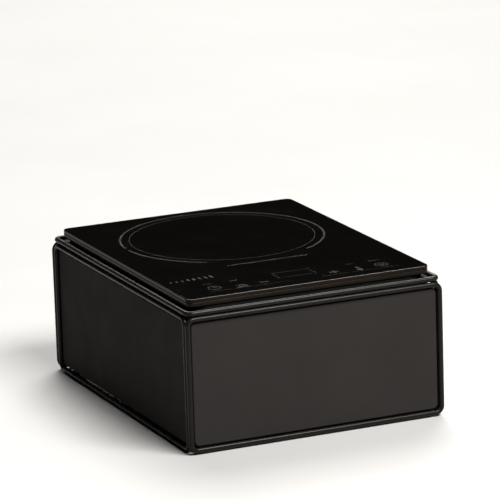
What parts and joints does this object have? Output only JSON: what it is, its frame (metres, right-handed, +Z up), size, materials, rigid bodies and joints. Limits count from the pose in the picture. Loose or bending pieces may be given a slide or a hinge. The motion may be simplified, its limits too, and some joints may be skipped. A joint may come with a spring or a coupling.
{
  "type": "induction cooktop",
  "caption": "Electric induction cooktop: black glass hob with touch keys, lifting out of a low black housing of rod frames and sheet panels.",
  "frame": {"origin": "centre of the footprint, on the surface the feet stand on", "axes": "+X to the right and +Y to the back as the user faces the touch keys, +Z up"},
  "size_m": [0.308, 0.3964, 0.1705],
  "materials": {
    "rod_coat": "satin black-brown powder coat on round steel rod",
    "panel_coat": "fine matt black-brown powder coat on sheet steel",
    "rubber": "matt black rubber",
    "black_glass": "polished black glass ceramic with thin light grey print",
    "black_plastic": "fine-grained black moulding",
    "plated_steel": "zinc plated",
    "mica": "pressed mica",
    "copper": "enamelled copper wire",
    "ferrite": "sintered ferrite, dark grey",
    "aluminium": "extruded, unpolished",
    "circuit_board": "green solder mask on glass-epoxy",
    "component_black": "moulded epoxy",
    "film_yellow": "moulded box",
    "film_blue": "moulded box",
    "pale_rubber": "soft pale silicone",
    "ribbon": "flat grey cable",
    "red_sleeve": "woven heat-proof sleeve",
    "fuse_glass": "clear tube with plated caps"
  },
  "bodies": {
    "housing": {"rod_frame_front": "rod_coat", "panel_front": "panel_coat", "rod_frame_right": "rod_coat", "panel_right": "panel_coat", "rod_frame_rear": "rod_coat", "panel_rear": "panel_coat", "rod_frame_left": "rod_coat", "panel_left": "panel_coat", "top_ring": "rod_coat", "top_plate": "panel_coat", "rest_gasket": "rubber", "corner_angle_front_left": "panel_coat", "foot_front_left": "rubber", "corner_angle_front_right": "panel_coat", "foot_front_right": "rubber", "corner_angle_rear_left": "panel_coat", "foot_rear_left": "rubber", "corner_angle_rear_right": "panel_coat", "foot_rear_right": "rubber", "cord_grommet": "rubber"},
    "cooktop": {"glass_top": "black_glass", "glass_seal": "rubber", "trim_frame": "black_plastic", "pan_screw_front_left": "plated_steel", "pan_screw_front_right": "plated_steel", "pan_screw_rear_left": "plated_steel", "pan_screw_rear_right": "plated_steel", "base_pan": "panel_coat", "cord_gland": "black_plastic", "mica_sheet": "mica", "induction_coil": "copper", "coil_former": "black_plastic", "ferrite_bar_1": "ferrite", "ferrite_bar_2": "ferrite", "ferrite_bar_3": "ferrite", "ferrite_bar_4": "ferrite", "ferrite_bar_5": "ferrite", "ferrite_bar_6": "ferrite", "sensor_spring": "plated_steel", "fan_frame": "black_plastic", "power_board": "circuit_board", "heatsink": "aluminium", "power_transistor": "component_black", "bridge_rectifier": "component_black", "filter_capacitor": "film_yellow", "resonant_capacitor": "film_blue", "line_choke": "copper", "standby_transformer": "ferrite", "storage_capacitor": "component_black", "terminal_block": "black_plastic", "fuse": "fuse_glass", "control_board": "circuit_board", "touch_key_strip": "pale_rubber", "display_module": "component_black", "ribbon_cable": "ribbon", "coil_lead_inner": "red_sleeve", "coil_lead_outer": "red_sleeve"},
    "fan": {"fan_rotor": "black_plastic"},
    "sensor": {"temperature_sensor": "aluminium"}
  },
  "joints": [
    {"name": "cooktop_lift", "type": "slide", "parent": "housing", "child": "cooktop", "axis": [0, 0, 1], "range_m": [0, 0.08]},
    {"name": "fan_spin", "type": "hinge", "parent": "cooktop", "child": "fan", "pos_m": [-0.07, 0.045, 0.12], "axis": [0, 0, 1], "continuous": true},
    {"name": "sensor_press", "type": "slide", "parent": "cooktop", "child": "sensor", "axis": [0, 0, 1], "range_m": [-0.002, 0], "stiffness_N_per_m": 150, "springref_m": 0.002, "deforming": ["sensor_spring"]}
  ]
}
